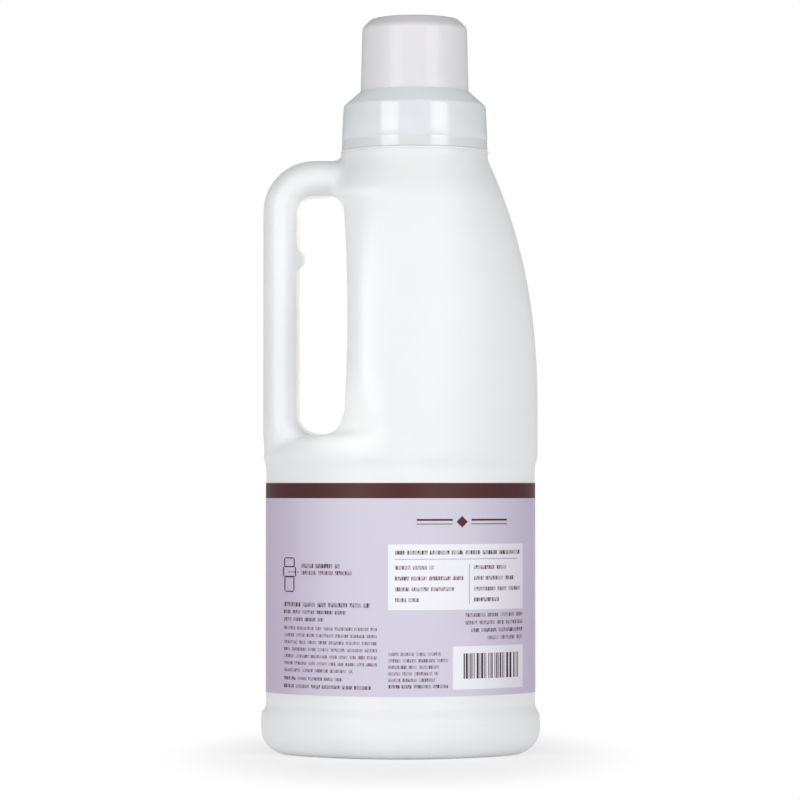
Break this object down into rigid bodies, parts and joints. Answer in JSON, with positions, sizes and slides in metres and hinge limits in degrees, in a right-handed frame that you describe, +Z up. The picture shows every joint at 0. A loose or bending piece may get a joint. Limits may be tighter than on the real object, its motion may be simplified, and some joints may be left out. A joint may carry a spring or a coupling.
{
  "type": "fabric softener bottle",
  "caption": "Upright blown bottle with a through handle, a wrap label, a drain-back pouring spout and a screw-on measuring cap.",
  "frame": {"origin": "middle of the base, on the surface that the bottle stands on", "axes": "+Z up along the bottle, +X away from the handle along the oval's long axis, +Y towards the front label"},
  "size_m": [0.103, 0.0798, 0.272],
  "materials": {
    "bottle": "satin milk-white blown polyethylene",
    "liquid": "opaque milky liquid",
    "label": "printed film, lilac with a dark brown band along its upper edge and plain white panels",
    "spout": "natural translucent polyethylene",
    "seal": "soft foamed liner",
    "cap": "translucent moulded polypropylene"
  },
  "bodies": {
    "filled_bottle": {"bottle": "bottle", "softener_liquid": "liquid", "wrap_label": "label", "pour_spout": "spout"},
    "seal_ring": {"cap_gasket": "seal"},
    "cap": {"measuring_cap": "cap"}
  },
  "joints": [
    {"name": "cap_rise", "type": "slide", "parent": "filled_bottle", "child": "seal_ring", "axis": [0, 0, 1], "range_m": [0, 0.009]},
    {"name": "cap_turn", "type": "hinge", "parent": "seal_ring", "child": "cap", "pos_m": [0.00524, 0, 0.236], "axis": [0, 0, 1], "range_deg": [0, 540]}
  ],
  "couplings": [
    {"joint": "cap_rise", "follows": "cap_turn", "m_per_rad": 0.00095493}
  ]
}
